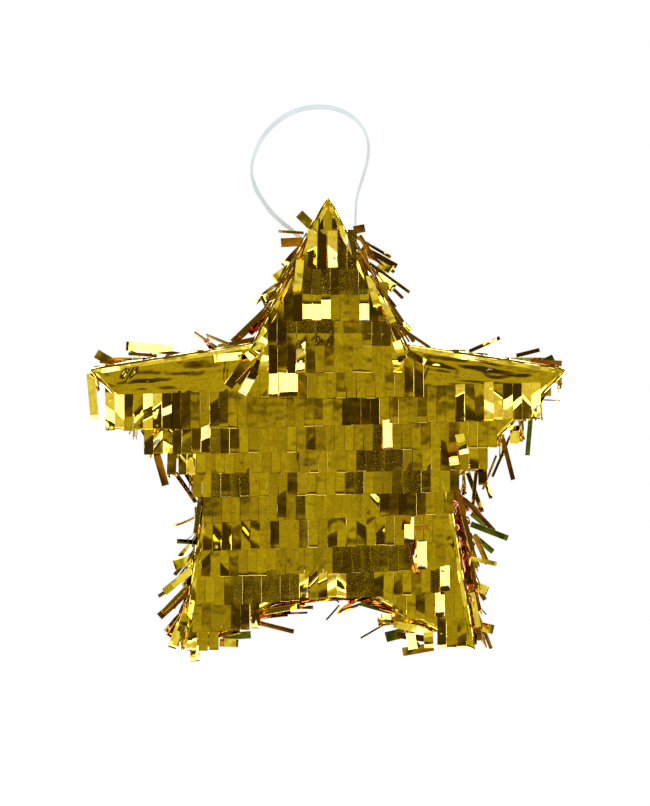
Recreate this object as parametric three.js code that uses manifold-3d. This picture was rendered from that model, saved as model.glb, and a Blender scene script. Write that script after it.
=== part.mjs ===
// A five-pointed star pinata: a hollow cardboard box covered in rows of fringed metallic foil,
// hung by a white ribbon loop that passes through its top point, with a fill door in its back.
//
// Millimetres, +Z up, front facing -Y. The origin is the hanging point: the underside of the
// ribbon loop's top, on the star's axis. The star's own group sits at the star's centre.
import * as THREE from "three";
import { mergeVertices } from "three/addons/utils/BufferGeometryUtils.js";
import Module from "manifold-3d";

const wasm = await Module();
wasm.setup();

// ---- Driving dimensions ----
const GAP = 0.3; // air kept between touching pieces
const CENTRE_DROP = 239; // from the hanging point down to the star's centre
const DEPTH = 80; // front of the front foil to back of the back foil
const CARD = 2; // cardboard thickness
const FOIL = 3; // space that the layered foil takes on a panel
const TAPE = 0.5; // paper tape thickness

const FOIL_TIP_R = 175; // centre to a point, over the foil
const FOIL_VALLEY_R = 89; // centre to a valley, over the foil
const CARD_TIP_R = 173;
const CARD_VALLEY_R = 87.5;

const ROW_PITCH = 17.8; // height of foil that one row shows below the row above
const TOP_FULL_ROW = 6; // the rows run from this multiple of the pitch down to the lowest
const LOWEST_ROW = -8;
const ARCH_ROW = -6; // this row's fringe hangs across the arch between the legs
const APEX_SPLIT_Z = 152; // where the two topmost, narrow strips meet
const ARM_ROW = 1; // this row's strip reaches up both arms, to the star's edge
const NECK_HALF_WIDTH = 68; // the two strips above the arm row cover only the neck

const FLUFF = 12; // how far the side fringe stands off the walls
const FLUFF_AT_TIP = 1.5;
const FLUFF_RAMP = 35; // run along the wall over which the side fringe thickens
const FRINGE_START = 6; // bare wall beside each point
const TOP_FRINGE_START = 41; // bare wall on the top point, so that the ribbon stays free

const DOOR_WIDTH = 80;
const DOOR_ROWS = 2; // the door reaches this many rows above and below the centre
const THUMB_NOTCH_R = 9;

const TAPE_REACH = 14; // tape on each side of a valley
const HOLE_HEIGHT = 143.5; // ribbon holes above the star's centre
const HOLE_R = 2.2;
const STUB_R = 1.2; // ribbon bunched up where it passes through the wall
const KNOT_R = 4;
const KNOT_LENGTH = 8;
const RIBBON_WIDTH = 4.5;
const RIBBON_THICK = 0.8;
const RIBBON_STEPS = 70;

// The ribbon's route in the plane y = 0, as [x, z], from the left hole over the top to the right one.
const RIBBON_ROUTE = [
  [-16.2, -95.5],
  [-24.4, -87.2],
  [-32.4, -80.7],
  [-39.7, -73.8],
  [-45.2, -66.5],
  [-50.1, -58.6],
  [-53.2, -50.0],
  [-53.9, -44.0],
  [-53.3, -38.1],
  [-50.8, -29.9],
  [-47.1, -22.4],
  [-42.5, -16.1],
  [-37.1, -10.7],
  [-31.1, -6.2],
  [-24.4, -2.6],
  [-17.1, -0.4],
  [-9.4, 0.7],
  [-1.2, 0.5],
  [6.9, -1.2],
  [14.8, -4.7],
  [21.8, -10.3],
  [26.6, -17.8],
  [28.6, -26.5],
  [28.1, -35.2],
  [26.3, -43.4],
  [23.9, -51.2],
  [21.4, -59.1],
  [20.0, -67.0],
  [19.5, -75.9],
  [19.1, -84.7],
  [16.2, -95.5],
];

// ---- Worked out from them ----
const SIDE_COUNT = 5;
const TURN = (2 * Math.PI) / SIDE_COUNT;
const PLATE_BACK = DEPTH / 2 - FOIL; // inner face of a foil layer, front or back
const PANEL_OUT = PLATE_BACK - GAP;
const PANEL_IN = PANEL_OUT - CARD;
const WALL_HALF = PANEL_IN - GAP;
const DOOR_HALF = DOOR_WIDTH / 2;
const DOOR_TOP = DOOR_ROWS * ROW_PITCH;
const CARD_TIP_HALF_ANGLE = Math.atan2(
  CARD_VALLEY_R * Math.sin(TURN / 2),
  CARD_TIP_R - CARD_VALLEY_R * Math.cos(TURN / 2),
);

const COLOURS = {
  foil: { color: 0xa8960c, roughness: 0.25, metalness: 1 },
  card: { color: 0xb08a5a, roughness: 0.9, metalness: 0 },
  tape: { color: 0xc8a878, roughness: 0.7, metalness: 0 },
  ribbon: { color: 0xf4f5f8, roughness: 0.6, metalness: 0 },
};

// ---- Helpers ----
const polar = (radius, angle) =>
  new THREE.Vector2(radius * Math.sin(angle), radius * Math.cos(angle));

// The star's outline, clockwise from the top point, as seen from the front.
function starOutline(tipR, valleyR) {
  const points = [];
  for (let i = 0; i < SIDE_COUNT; i++) {
    points.push(polar(tipR, i * TURN));
    points.push(polar(valleyR, (i + 0.5) * TURN));
  }
  return points;
}

// The star without its bottom valley, so that a strip can hang across the arch.
function archedOutline(tipR, valleyR) {
  return starOutline(tipR, valleyR).filter((_, i) => i !== SIDE_COUNT);
}

// Cuts an outline at a line: keeps the points whose coordinate is on the kept side of the limit.
function cut(points, axis, limit, keepAbove) {
  const sign = keepAbove ? 1 : -1;
  const kept = [];
  points.forEach((p, i) => {
    const next = points[(i + 1) % points.length];
    const here = sign * (p[axis] - limit);
    const there = sign * (next[axis] - limit);
    if (here >= 0) kept.push(p);
    if (here >= 0 !== there >= 0)
      kept.push(p.clone().lerp(next, here / (here - there)));
  });
  return kept;
}

// The part of an outline inside a box, less half a gap on each cut side.
function cutToBox(points, { low, high, left = -Infinity, right = Infinity }) {
  let kept = points;
  if (left > -Infinity) kept = cut(kept, "x", left + GAP / 2, true);
  if (right < Infinity) kept = cut(kept, "x", right - GAP / 2, false);
  kept = cut(kept, "y", low + GAP / 2, true);
  return cut(kept, "y", high - GAP / 2, false);
}

// A flat piece: an outline in x and z, between two depths y, with optional holes.
function plate(outline, yFront, yBack, holes = []) {
  const shape = outline instanceof THREE.Shape ? outline : new THREE.Shape(outline);
  shape.holes.push(...holes.map((points) => new THREE.Path(points)));
  const geometry = new THREE.ExtrudeGeometry(shape, {
    depth: yBack - yFront,
    bevelEnabled: false,
    curveSegments: 12,
  });
  return geometry.rotateX(Math.PI / 2).translate(0, yBack, 0);
}

function toSolid(geometry) {
  const bare = new THREE.BufferGeometry();
  bare.setAttribute("position", geometry.getAttribute("position").clone());
  if (geometry.index) bare.setIndex(geometry.index.clone());
  const merged = mergeVertices(bare, 1e-4);
  const mesh = new wasm.Mesh({
    numProp: 3,
    vertProperties: merged.attributes.position.array,
    triVerts: new Uint32Array(merged.index.array),
  });
  return new wasm.Manifold(mesh);
}

function toGeometry(solid) {
  const mesh = solid.getMesh();
  const geometry = new THREE.BufferGeometry();
  const positions = new THREE.BufferAttribute(mesh.vertProperties, 3);
  geometry.setAttribute("position", positions);
  geometry.setIndex(new THREE.BufferAttribute(mesh.triVerts, 1));
  geometry.computeVertexNormals();
  return geometry;
}

const subtract = (geometry, tool) =>
  toGeometry(toSolid(geometry).subtract(toSolid(tool)));

function named(name, geometry, look) {
  const material = new THREE.MeshStandardMaterial(COLOURS[look]);
  const mesh = new THREE.Mesh(geometry, material);
  mesh.name = name;
  return mesh;
}

// One straight run of wall between a point and a valley, with a way to place things on it:
// along is the distance from the point, out the distance off the wall's outer face.
function wallRun(tipIndex, side) {
  const tip = polar(CARD_TIP_R, tipIndex * TURN);
  const valley = polar(CARD_VALLEY_R, (tipIndex + side / 2) * TURN);
  const direction = valley.clone().sub(tip);
  const length = direction.length();
  direction.normalize();
  const normal = new THREE.Vector2(-direction.y, direction.x).multiplyScalar(side);
  const valleyHalfAngle = Math.acos(-direction.dot(valley.clone().normalize()));
  return {
    length,
    at: (along, out) =>
      tip.clone().addScaledVector(direction, along).addScaledVector(normal, out),
    // how far along the run meets its neighbour in the valley, at a distance off the wall
    valleyEnd: (out) => length - out / Math.tan(valleyHalfAngle) - GAP,
  };
}

// ---- Cardboard box ----
const POINT_NAMES = ["top", "right_arm", "right_leg", "left_leg", "left_arm"];

function frontPanel() {
  const outline = starOutline(CARD_TIP_R, CARD_VALLEY_R);
  return named("front_panel", plate(outline, -PANEL_OUT, -PANEL_IN), "card");
}

function backPanel() {
  const outline = starOutline(CARD_TIP_R, CARD_VALLEY_R);
  const side = DOOR_HALF + GAP;
  const end = DOOR_TOP + GAP;
  const opening = [
    new THREE.Vector2(-side, -end),
    new THREE.Vector2(side, -end),
    new THREE.Vector2(side, end),
    new THREE.Vector2(-side, end),
  ];
  return named("back_panel", plate(outline, PANEL_IN, PANEL_OUT, [opening]), "card");
}

// A strip of card folded round one point, from valley to valley.
function foldedWall(tipIndex) {
  const left = wallRun(tipIndex, -1);
  const right = wallRun(tipIndex, 1);
  const innerTipR = CARD_TIP_R - CARD / Math.sin(CARD_TIP_HALF_ANGLE);
  const outline = [
    left.at(left.valleyEnd(0), 0),
    polar(CARD_TIP_R, tipIndex * TURN),
    right.at(right.valleyEnd(0), 0),
    right.at(right.valleyEnd(-CARD), -CARD),
    polar(innerTipR, tipIndex * TURN),
    left.at(left.valleyEnd(-CARD), -CARD),
  ];
  return plate(outline, -WALL_HALF, WALL_HALF);
}

function walls() {
  return POINT_NAMES.map((point, i) => {
    let geometry = foldedWall(i);
    if (point === "top") {
      const drill = new THREE.CylinderGeometry(HOLE_R, HOLE_R, CARD_TIP_R, 24);
      drill.rotateZ(Math.PI / 2).translate(0, 0, HOLE_HEIGHT);
      geometry = subtract(geometry, drill);
    }
    return named(`wall_${point}`, geometry, "card");
  });
}

// Paper tape over the two wall ends that meet in a valley, on the inside of the box.
function valleyTape(index) {
  const left = wallRun(index, 1);
  const right = wallRun((index + 1) % SIDE_COUNT, -1);
  const near = -(CARD + GAP);
  const far = near - TAPE;
  const corner = (out) => {
    const angle = (index + 0.5) * TURN;
    const tip = polar(CARD_TIP_R, index * TURN);
    const valley = polar(CARD_VALLEY_R, angle);
    const run = tip.sub(valley).normalize();
    const halfAngle = Math.acos(run.dot(valley.clone().normalize()));
    return polar(CARD_VALLEY_R + out / Math.sin(halfAngle), angle);
  };
  const outline = [
    left.at(left.length - TAPE_REACH, near),
    corner(near),
    right.at(right.length - TAPE_REACH, near),
    right.at(right.length - TAPE_REACH, far),
    corner(far),
    left.at(left.length - TAPE_REACH, far),
  ];
  return plate(outline, -WALL_HALF + GAP, WALL_HALF - GAP);
}

function tapes() {
  const names = ["upper_right", "lower_right", "bottom", "lower_left", "upper_left"];
  return names.map((place, i) => named(`valley_tape_${place}`, valleyTape(i), "tape"));
}

// What the arm row's strip is cut back by: the neck, from the top of the row upwards.
function neckBlock() {
  const height = FOIL_TIP_R;
  const block = new THREE.BoxGeometry(2 * NECK_HALF_WIDTH + GAP, DEPTH, height);
  const low = (ARM_ROW + 1) * ROW_PITCH - GAP / 2;
  return block.translate(0, 0, low + height / 2);
}

// ---- Foil on the front, one node for the band that each fringed strip shows ----
function frontFoil() {
  const outline = starOutline(FOIL_TIP_R, FOIL_VALLEY_R);
  const arched = archedOutline(FOIL_TIP_R, FOIL_VALLEY_R);
  const topRowHigh = (TOP_FULL_ROW + 1) * ROW_PITCH;
  const bands = [
    { from: outline, low: APEX_SPLIT_Z, high: FOIL_TIP_R + GAP },
    { from: outline, low: topRowHigh, high: APEX_SPLIT_Z },
  ];
  for (let row = TOP_FULL_ROW; row >= LOWEST_ROW; row--) {
    const band = { low: row * ROW_PITCH, high: (row + 1) * ROW_PITCH };
    if (row === ARM_ROW + 1 || row === ARM_ROW + 2)
      bands.push({ from: outline, ...band, left: -NECK_HALF_WIDTH, right: NECK_HALF_WIDTH });
    else if (row === ARM_ROW) bands.push({ from: outline, low: band.low, high: FOIL_TIP_R });
    else if (row > ARCH_ROW) bands.push({ from: outline, ...band });
    else if (row === ARCH_ROW) bands.push({ from: arched, ...band });
    else {
      bands.push({ from: outline, ...band, right: 0, suffix: "_left" });
      bands.push({ from: outline, ...band, left: 0, suffix: "_right" });
    }
  }
  let number = 0;
  return bands.map((band) => {
    if (band.suffix !== "_right") number++;
    const name = `front_foil_${String(number).padStart(2, "0")}${band.suffix ?? ""}`;
    const geometry = plate(cutToBox(band.from, band), -DEPTH / 2, -PLATE_BACK);
    const reachesUpArms = band.high === FOIL_TIP_R;
    return named(name, reachesUpArms ? subtract(geometry, neckBlock()) : geometry, "foil");
  });
}

// ---- Foil on the back, two strips to a node, left clear of the door ----
function backFoil() {
  const outline = starOutline(FOIL_TIP_R, FOIL_VALLEY_R);
  const arched = archedOutline(FOIL_TIP_R, FOIL_VALLEY_R);
  const band = (row) => ({ low: row * ROW_PITCH, high: (row + 2) * ROW_PITCH });
  const beside = DOOR_HALF + GAP;
  const places = {
    back_foil_top: { from: outline, low: 6 * ROW_PITCH, high: FOIL_TIP_R + GAP },
    back_foil_neck: { from: outline, ...band(4) },
    back_foil_arms: { from: outline, ...band(DOOR_ROWS) },
    back_foil_upper_left: { from: outline, ...band(0), right: -beside },
    back_foil_upper_right: { from: outline, ...band(0), left: beside },
    back_foil_lower_left: { from: outline, ...band(-DOOR_ROWS), right: -beside },
    back_foil_lower_right: { from: outline, ...band(-DOOR_ROWS), left: beside },
    back_foil_waist: { from: outline, ...band(-4) },
    back_foil_arch: { from: arched, ...band(ARCH_ROW) },
    back_foil_left_leg: { from: outline, ...band(LOWEST_ROW), right: 0 },
    back_foil_right_leg: { from: outline, ...band(LOWEST_ROW), left: 0 },
  };
  return Object.entries(places).map(([name, place]) =>
    named(name, plate(cutToBox(place.from, place), PLATE_BACK, DEPTH / 2), "foil"),
  );
}

// ---- Fringe on the side walls ----
function sideFringe(tipIndex, side) {
  const run = wallRun(tipIndex, side);
  const start = tipIndex === 0 ? TOP_FRINGE_START : FRINGE_START;
  const outline = [
    run.at(start, GAP),
    run.at(run.valleyEnd(GAP), GAP),
    run.at(run.valleyEnd(FLUFF), FLUFF),
    run.at(start + FLUFF_RAMP, FLUFF),
    run.at(start, FLUFF_AT_TIP),
  ];
  return plate(outline, -PANEL_OUT, PANEL_OUT);
}

function sideFoil() {
  const sides = [
    { side: -1, suffix: "a" },
    { side: 1, suffix: "b" },
  ];
  return POINT_NAMES.flatMap((point, i) =>
    sides.map(({ side, suffix }) =>
      named(`side_fringe_${point}_${suffix}`, sideFringe(i, side), "foil"),
    ),
  );
}

// ---- Fill door: a flap of the back panel, folded along its top edge ----
function fillDoor() {
  const shape = new THREE.Shape();
  shape.moveTo(-DOOR_HALF, -DOOR_TOP);
  shape.lineTo(-THUMB_NOTCH_R, -DOOR_TOP);
  shape.absarc(0, -DOOR_TOP, THUMB_NOTCH_R, Math.PI, 0, true);
  shape.lineTo(DOOR_HALF, -DOOR_TOP);
  shape.lineTo(DOOR_HALF, DOOR_TOP);
  shape.lineTo(-DOOR_HALF, DOOR_TOP);
  shape.closePath();
  return named("fill_door", plate(shape, PANEL_IN, PANEL_OUT), "card");
}

function doorFoil() {
  const flap = [
    new THREE.Vector2(-DOOR_HALF, -DOOR_TOP),
    new THREE.Vector2(DOOR_HALF, -DOOR_TOP),
    new THREE.Vector2(DOOR_HALF, DOOR_TOP),
    new THREE.Vector2(-DOOR_HALF, DOOR_TOP),
  ];
  const upper = cutToBox(flap, { low: 0, high: DOOR_TOP });
  const lower = cutToBox(flap, { low: -DOOR_TOP, high: 0 });
  return [
    named("door_foil_upper", plate(upper, PLATE_BACK, DEPTH / 2), "foil"),
    named("door_foil_lower", plate(lower, PLATE_BACK, DEPTH / 2), "foil"),
  ];
}

// ---- Ribbon and its knots ----
// A knot just inside a hole, with the bunched ribbon that passes out through the wall.
function ribbonKnot(side) {
  const wallX = (CARD_TIP_R - HOLE_HEIGHT) * Math.tan(CARD_TIP_HALF_ANGLE);
  const knotEnd = wallX - CARD / Math.cos(CARD_TIP_HALF_ANGLE) - HOLE_R;
  const profile = [new THREE.Vector2(0, knotEnd - KNOT_LENGTH)];
  const bulgeSteps = 8;
  for (let i = 1; i < bulgeSteps; i++) {
    const angle = (Math.PI * i) / bulgeSteps;
    const radius = Math.max(KNOT_R * Math.sin(angle), STUB_R);
    const x = knotEnd - (KNOT_LENGTH / 2) * (1 + Math.cos(angle));
    profile.push(new THREE.Vector2(radius, x));
  }
  profile.push(new THREE.Vector2(STUB_R, wallX + GAP));
  profile.push(new THREE.Vector2(0, wallX + GAP));
  const geometry = new THREE.LatheGeometry(profile, 16);
  geometry.rotateZ((-side * Math.PI) / 2).translate(0, 0, HOLE_HEIGHT);
  return geometry;
}

function knots() {
  return [
    named("ribbon_knot_left", ribbonKnot(-1), "ribbon"),
    named("ribbon_knot_right", ribbonKnot(1), "ribbon"),
  ];
}

function hangingRibbon() {
  const points = RIBBON_ROUTE.map(([x, z]) => new THREE.Vector3(x, 0, z));
  const path = new THREE.CatmullRomCurve3(points);
  const halfWidth = RIBBON_WIDTH / 2;
  const halfThick = RIBBON_THICK / 2;
  const rounding = 0.4; // the eight-sided section's corners, as a share of its half sizes
  const section = new THREE.Shape([
    new THREE.Vector2(halfWidth, -halfThick * rounding),
    new THREE.Vector2(halfWidth, halfThick * rounding),
    new THREE.Vector2(halfWidth * (1 - rounding / 2), halfThick),
    new THREE.Vector2(-halfWidth * (1 - rounding / 2), halfThick),
    new THREE.Vector2(-halfWidth, halfThick * rounding),
    new THREE.Vector2(-halfWidth, -halfThick * rounding),
    new THREE.Vector2(-halfWidth * (1 - rounding / 2), -halfThick),
    new THREE.Vector2(halfWidth * (1 - rounding / 2), -halfThick),
  ]);
  const geometry = new THREE.ExtrudeGeometry(section, {
    extrudePath: path,
    steps: RIBBON_STEPS,
    bevelEnabled: false,
  });
  return named("hanging_ribbon", geometry, "ribbon");
}

// ---- Assembly ----
const star = new THREE.Group();
star.position.z = -CENTRE_DROP;
star.add(frontPanel(), backPanel(), ...walls(), ...tapes(), ...knots());
star.add(...frontFoil(), ...backFoil(), ...sideFoil());
star.add(fillDoor(), ...doorFoil());

const pinata = new THREE.Group();
pinata.add(star, hangingRibbon());

export default pinata;
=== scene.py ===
"""Looks of the star pinata: fringed gold foil on a cardboard box, hung by a white ribbon loop.

Metres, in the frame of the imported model: +Z up, front facing -Y, origin at the hanging point.
"""
import math
import random

import bpy
from mathutils import Matrix, Vector, noise


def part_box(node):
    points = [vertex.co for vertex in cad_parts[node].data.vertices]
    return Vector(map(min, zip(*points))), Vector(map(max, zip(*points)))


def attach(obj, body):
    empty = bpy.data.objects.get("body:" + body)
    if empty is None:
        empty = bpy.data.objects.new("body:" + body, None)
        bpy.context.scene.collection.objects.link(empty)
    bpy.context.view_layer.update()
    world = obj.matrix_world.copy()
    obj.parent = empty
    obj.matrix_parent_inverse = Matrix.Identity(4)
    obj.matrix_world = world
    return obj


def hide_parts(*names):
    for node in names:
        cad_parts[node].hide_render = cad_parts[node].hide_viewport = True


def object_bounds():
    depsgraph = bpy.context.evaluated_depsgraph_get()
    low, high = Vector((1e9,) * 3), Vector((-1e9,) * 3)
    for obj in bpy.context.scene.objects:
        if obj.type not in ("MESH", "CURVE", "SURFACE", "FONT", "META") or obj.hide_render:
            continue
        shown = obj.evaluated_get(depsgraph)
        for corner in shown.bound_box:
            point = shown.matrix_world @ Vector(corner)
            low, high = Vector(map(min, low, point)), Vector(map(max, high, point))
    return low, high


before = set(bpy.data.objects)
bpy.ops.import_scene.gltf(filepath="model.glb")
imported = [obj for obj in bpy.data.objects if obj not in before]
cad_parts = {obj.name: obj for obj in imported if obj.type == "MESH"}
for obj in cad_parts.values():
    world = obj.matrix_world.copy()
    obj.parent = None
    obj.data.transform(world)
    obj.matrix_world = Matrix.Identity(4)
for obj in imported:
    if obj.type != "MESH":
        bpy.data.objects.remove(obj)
CAD_LOW, CAD_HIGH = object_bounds()

# ---- Sizes, from the frame where it holds them ----
DOOR_LOW, DOOR_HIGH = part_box("fill_door")
CENTRE_Z = (DOOR_LOW.z + DOOR_HIGH.z) / 2
TIP_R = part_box("front_foil_01")[1].z - CENTRE_Z
VALLEY_R = 0.089
PANEL_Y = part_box("back_panel")[1].y
SKIN_Y = PANEL_Y + 0.0003  # where foil lies flat on a panel
STAR_SIDES = 5
TURN = 2 * math.pi / STAR_SIDES

DOOR_ROWS = 4
ROW_PITCH = (DOOR_HIGH.z - DOOR_LOW.z) / DOOR_ROWS
STRIP_WIDTH = 0.0065
STRIP_GAP = 0.00012
FRINGE = 0.0275  # length that a row is cut to
FILM = 0.00012  # thickness that the film is given
ROOT_OFF = 0.0007  # how far strips are rooted off a face
MM = 1000  # millimetres in a metre

RIBBON_WIDTH = 0.0045
RIBBON_THICK = 0.0004

# The ribbon's route as (x, z), the same points as the CAD route, in metres.
RIBBON_ROUTE = [
    (-0.0162, -0.0955), (-0.0244, -0.0872), (-0.0324, -0.0807), (-0.0397, -0.0738),
    (-0.0452, -0.0665), (-0.0501, -0.0586), (-0.0532, -0.0500), (-0.0539, -0.0440),
    (-0.0533, -0.0381), (-0.0508, -0.0299), (-0.0471, -0.0224), (-0.0425, -0.0161),
    (-0.0371, -0.0107), (-0.0311, -0.0062), (-0.0244, -0.0026), (-0.0171, -0.0004),
    (-0.0094, 0.0007), (-0.0012, 0.0005), (0.0069, -0.0012), (0.0148, -0.0047),
    (0.0218, -0.0103), (0.0266, -0.0178), (0.0286, -0.0265), (0.0281, -0.0352),
    (0.0263, -0.0434), (0.0239, -0.0512), (0.0214, -0.0591), (0.0200, -0.0670),
    (0.0195, -0.0759), (0.0191, -0.0847), (0.0162, -0.0955),
]
# Turn of the ribbon about its route, in degrees from lying square to the front, at even steps.
RIBBON_TURNS = (34, 36, 35, 32, 16, 28, 36, 41, 47, 45, 41, 31, 17, 21, 24, 15, 12, 12)

# Camera: straight on to the front face. It sees this height at the distance of the face.
VIEW_HEIGHT = 0.5642
VIEW_DISTANCE = 5.0
VIEW_X = -0.0021
VIEW_Z = CENTRE_Z + 0.0308
SENSOR = 0.036

rng = random.Random(20)


# ---- Camera, light and floor ----
def make_camera():
    data = bpy.data.cameras.new("camera")
    data.sensor_width = SENSOR * MM
    data.lens = SENSOR * MM * VIEW_DISTANCE / VIEW_HEIGHT
    camera = bpy.data.objects.new("camera", data)
    camera.location = (VIEW_X, CAD_LOW.y - VIEW_DISTANCE, VIEW_Z)
    camera.rotation_euler = (math.radians(90), 0, 0)
    bpy.context.scene.collection.objects.link(camera)
    bpy.context.scene.camera = camera


def link(tree, from_node, from_socket, to_node, to_socket):
    tree.links.new(from_node.outputs[from_socket], to_node.inputs[to_socket])


def add_ramp(tree, source, stops):
    """A colour ramp over a socket. Each stop is a position and a grey value or a colour."""
    node = tree.nodes.new("ShaderNodeValToRGB")
    elements = node.color_ramp.elements
    elements[0].position, elements[-1].position = stops[0][0], stops[-1][0]
    for position, value in stops[1:-1]:
        elements.new(position)
    for element, (position, value) in zip(elements, stops):
        colour = value if isinstance(value, tuple) else (value, value, value)
        element.color = (*colour, 1)
    tree.links.new(source, node.inputs["Fac"])
    return node.outputs["Color"]


def add_math(tree, operation, *values):
    """Each value is a number or a socket."""
    node = tree.nodes.new("ShaderNodeMath")
    node.operation = operation
    for value, socket in zip(values, node.inputs):
        if isinstance(value, (int, float)):
            socket.default_value = value
        else:
            tree.links.new(value, socket)
    return node.outputs[0]


def add_mix(tree, factor, first, second, blend="MIX"):
    """Mixes two colours. The factor is a number or a socket."""
    node = tree.nodes.new("ShaderNodeMix")
    node.data_type = "RGBA"
    node.blend_type = blend
    if isinstance(factor, (int, float)):
        node.inputs["Factor"].default_value = factor
    else:
        tree.links.new(factor, node.inputs["Factor"])
    tree.links.new(first, node.inputs["A"])
    tree.links.new(second, node.inputs["B"])
    return node.outputs["Result"]


def add_noise(tree, where, scale, detail):
    node = tree.nodes.new("ShaderNodeTexNoise")
    node.inputs["Scale"].default_value = scale
    node.inputs["Detail"].default_value = detail
    tree.links.new(where, node.inputs["Vector"])
    return node.outputs["Fac"]


def add_bump(tree, height, strength, distance, shader, before=None):
    node = tree.nodes.new("ShaderNodeBump")
    node.inputs["Strength"].default_value = strength
    node.inputs["Distance"].default_value = distance
    tree.links.new(height, node.inputs["Height"])
    if before is not None:
        link(tree, before, 0, node, "Normal")
    link(tree, node, 0, shader, "Normal")
    return node


def make_world():
    """A white studio. Foil reflects its grey walls, its dark gaps and its bright softboxes."""
    world = bpy.data.worlds.new("studio")
    bpy.context.scene.world = world
    world.use_nodes = True
    tree = world.node_tree
    tree.nodes.clear()
    where = tree.nodes.new("ShaderNodeTexCoord").outputs["Generated"]
    split = tree.nodes.new("ShaderNodeSeparateXYZ")
    tree.links.new(where, split.inputs[0])
    facing = add_math(tree, "ABSOLUTE", split.outputs["Y"])
    blotches = add_noise(tree, where, 5.5, 1.0)
    wander = 0.05  # how far the rings of light and dark wander
    shift = add_math(tree, "MULTIPLY_ADD", blotches, wander, -wander / 2)
    ring = add_math(tree, "ADD", facing, shift)

    dark, dusk = (0.014, 0.010, 0.001), (0.040, 0.031, 0.002)
    wall, glow, lamp = (0.119, 0.109, 0.0065), (0.225, 0.215, 0.075), (1.0, 1.0, 1.0)
    ahead = [(0.90, dark), (0.950, dark), (0.978, dusk), (0.990, wall), (1.0, wall)]
    lit = add_ramp(
        tree, ring,
        [(0.0, dusk), (0.24, dusk), (0.28, glow), (0.34, glow), (0.35, lamp), (0.50, lamp),
         (0.51, dark), (0.58, dark), (0.61, wall), (0.69, wall), (0.70, glow), (0.79, glow),
         (0.80, lamp), (0.885, lamp), (0.893, dark)] + ahead[1:],
    )
    unlit = add_ramp(
        tree, ring,
        [(0.0, dark), (0.25, dusk), (0.33, wall), (0.42, dusk), (0.51, dark), (0.60, dusk),
         (0.68, wall), (0.76, glow), (0.80, dusk)] + ahead,
    )
    lamps = add_ramp(tree, add_noise(tree, where, 3.1, 0.0), [(0.41, 0.0), (0.42, 1.0)])
    overhead = add_ramp(tree, split.outputs["Z"], [(0.36, 0.0), (0.40, 1.0)])
    seen = add_mix(tree, add_math(tree, "MAXIMUM", lamps, overhead), unlit, lit)
    mottle = add_noise(tree, where, 24, 1.5)
    shades = add_ramp(tree, mottle, [(0.36, (0.74, 0.71, 0.62)), (0.60, (1.08, 1.08, 1.08))])
    shaded = add_mix(tree, 1.0, seen, shades, "MULTIPLY")

    rays = tree.nodes.new("ShaderNodeLightPath")
    shiny = tree.nodes.new("ShaderNodeBackground")
    tree.links.new(shaded, shiny.inputs["Color"])
    shiny.inputs["Strength"].default_value = 3.5
    plain = tree.nodes.new("ShaderNodeBackground")
    plain.inputs["Color"].default_value = (1, 1, 1, 1)
    mix = tree.nodes.new("ShaderNodeMixShader")
    link(tree, rays, "Is Glossy Ray", mix, 0)
    link(tree, plain, 0, mix, 1)
    link(tree, shiny, 0, mix, 2)
    out = tree.nodes.new("ShaderNodeOutputWorld")
    link(tree, mix, 0, out, 0)


def add_mesh(name, points, faces, material, crisp=40):
    """A smooth object, with sharp edges where it turns by more than crisp degrees."""
    mesh = bpy.data.meshes.new(name)
    mesh.from_pydata(points, [], faces)
    mesh.materials.append(material)
    mesh.polygons.foreach_set("use_smooth", [True] * len(mesh.polygons))
    mesh.set_sharp_from_angle(angle=math.radians(crisp))
    piece = bpy.data.objects.new(name, mesh)
    bpy.context.scene.collection.objects.link(piece)
    return piece


def make_floor():
    """A round pale floor, well below the hanging star."""
    radius = 0.75
    drop = 0.25
    corners = 96
    angles = [2 * math.pi * i / corners for i in range(corners)]
    rim = [(radius * math.cos(angle), radius * math.sin(angle), 0) for angle in angles]
    material, _, shader = new_material("floor", 0.9)
    shader.inputs["Base Color"].default_value = (0.80, 0.80, 0.79, 1)
    floor = add_mesh("floor", rim, [list(range(corners))], material)
    floor.location.z = CAD_LOW.z - drop
    floor.visible_glossy = False  # foil that faces down reflects the studio instead


# ---- Materials ----
def new_material(name, roughness):
    material = bpy.data.materials.new(name)
    material.use_nodes = True
    shader = material.node_tree.nodes["Principled BSDF"]
    shader.inputs["Roughness"].default_value = roughness
    return material, material.node_tree, shader


def object_place(tree):
    return tree.nodes.new("ShaderNodeTexCoord").outputs["Object"]


def mesh_value(tree, name):
    """A value that each mesh holds at its points."""
    node = tree.nodes.new("ShaderNodeAttribute")
    node.attribute_name = name
    return node.outputs["Fac"]


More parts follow.
